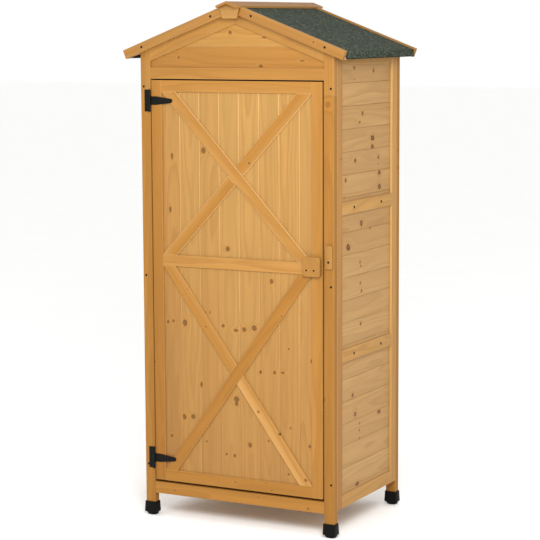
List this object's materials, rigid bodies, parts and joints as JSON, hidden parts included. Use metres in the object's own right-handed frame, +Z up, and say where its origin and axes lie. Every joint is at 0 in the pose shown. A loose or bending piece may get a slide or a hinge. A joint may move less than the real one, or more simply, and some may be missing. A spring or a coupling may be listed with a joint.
{
  "type": "garden storage cabinet",
  "caption": "Tall narrow wooden garden storage cabinet with a pitched felt roof, a cross-braced boarded door, strap hinges, a turn-bar latch and cupped feet.",
  "frame": {"origin": "on the ground, at the centre of the bounding box seen from above", "axes": "+Z up, front with the door towards -Y, +X to the right seen from the front"},
  "size_m": [0.814, 0.6286, 1.729],
  "materials": {
    "case_wood": "honey-brown stained fir, satin",
    "door_wood": "honey-brown stained fir, satin",
    "latch_wood": "honey-brown stained fir, satin",
    "roof_trim_wood": "honey-brown stained fir, satin",
    "inner_wood": "sawn fir, lightly stained",
    "roof_felt": "green mineral-surfaced roofing felt",
    "black_steel": "black powder-coated steel",
    "black_screw": "black phosphated steel",
    "black_plastic": "moulded black polypropylene"
  },
  "bodies": {
    "cabinet": {"back_boards": "case_wood", "back_posts": "case_wood", "back_rafters": "case_wood", "back_rails": "case_wood", "back_stiles": "case_wood", "bargeboard_back_left": "roof_trim_wood", "bargeboard_back_right": "roof_trim_wood", "bargeboard_front_left": "roof_trim_wood", "bargeboard_front_right": "roof_trim_wood", "case_screws": "black_screw", "door_stop": "inner_wood", "finial_back": "roof_trim_wood", "finial_front": "roof_trim_wood", "floor_bearers": "inner_wood", "floor_boards": "inner_wood", "foot_cap_back_left": "black_plastic", "foot_cap_back_right": "black_plastic", "foot_cap_front_left": "black_plastic", "foot_cap_front_right": "black_plastic", "front_bottom_rail": "case_wood", "front_post_left": "case_wood", "front_post_right": "case_wood", "gable_boards": "case_wood", "gable_head_rail": "case_wood", "gable_rafters": "case_wood", "gable_stiles": "case_wood", "hinge_pins": "black_steel", "hinge_plate_bottom": "black_steel", "hinge_plate_screws": "black_screw", "hinge_plate_top": "black_steel", "latch_pivot_screw": "black_screw", "ridge_board_left": "roof_trim_wood", "ridge_board_right": "roof_trim_wood", "roof_battens": "inner_wood", "roof_boards_left": "inner_wood", "roof_boards_right": "inner_wood", "roof_felt": "roof_felt", "shelf_bearers": "inner_wood", "shelf_lower": "inner_wood", "shelf_upper": "inner_wood", "side_boards_left": "case_wood", "side_boards_right": "case_wood", "side_rails_left": "case_wood", "side_rails_right": "case_wood", "side_stiles_left": "case_wood", "side_stiles_right": "case_wood"},
    "door": {"door_stile_left": "door_wood", "door_stile_right": "door_wood", "door_rails": "door_wood", "door_boards": "door_wood", "door_braces_upper": "door_wood", "door_braces_lower": "door_wood", "door_screws": "black_screw", "catch_plate": "latch_wood", "catch_spacer": "latch_wood", "hinge_strap_top": "black_steel", "hinge_strap_bottom": "black_steel"},
    "latch": {"latch_bar": "latch_wood"}
  },
  "joints": [
    {"name": "door_hinge", "type": "hinge", "parent": "cabinet", "child": "door", "pos_m": [-0.32, -0.2602, 0.80325], "axis": [0, 0, -1], "range_deg": [0, 170]},
    {"name": "latch_turn", "type": "hinge", "parent": "cabinet", "child": "latch", "pos_m": [0.3385, -0.2603, 0.9032], "axis": [0, 1, 0], "range_deg": [-90, 90]}
  ]
}
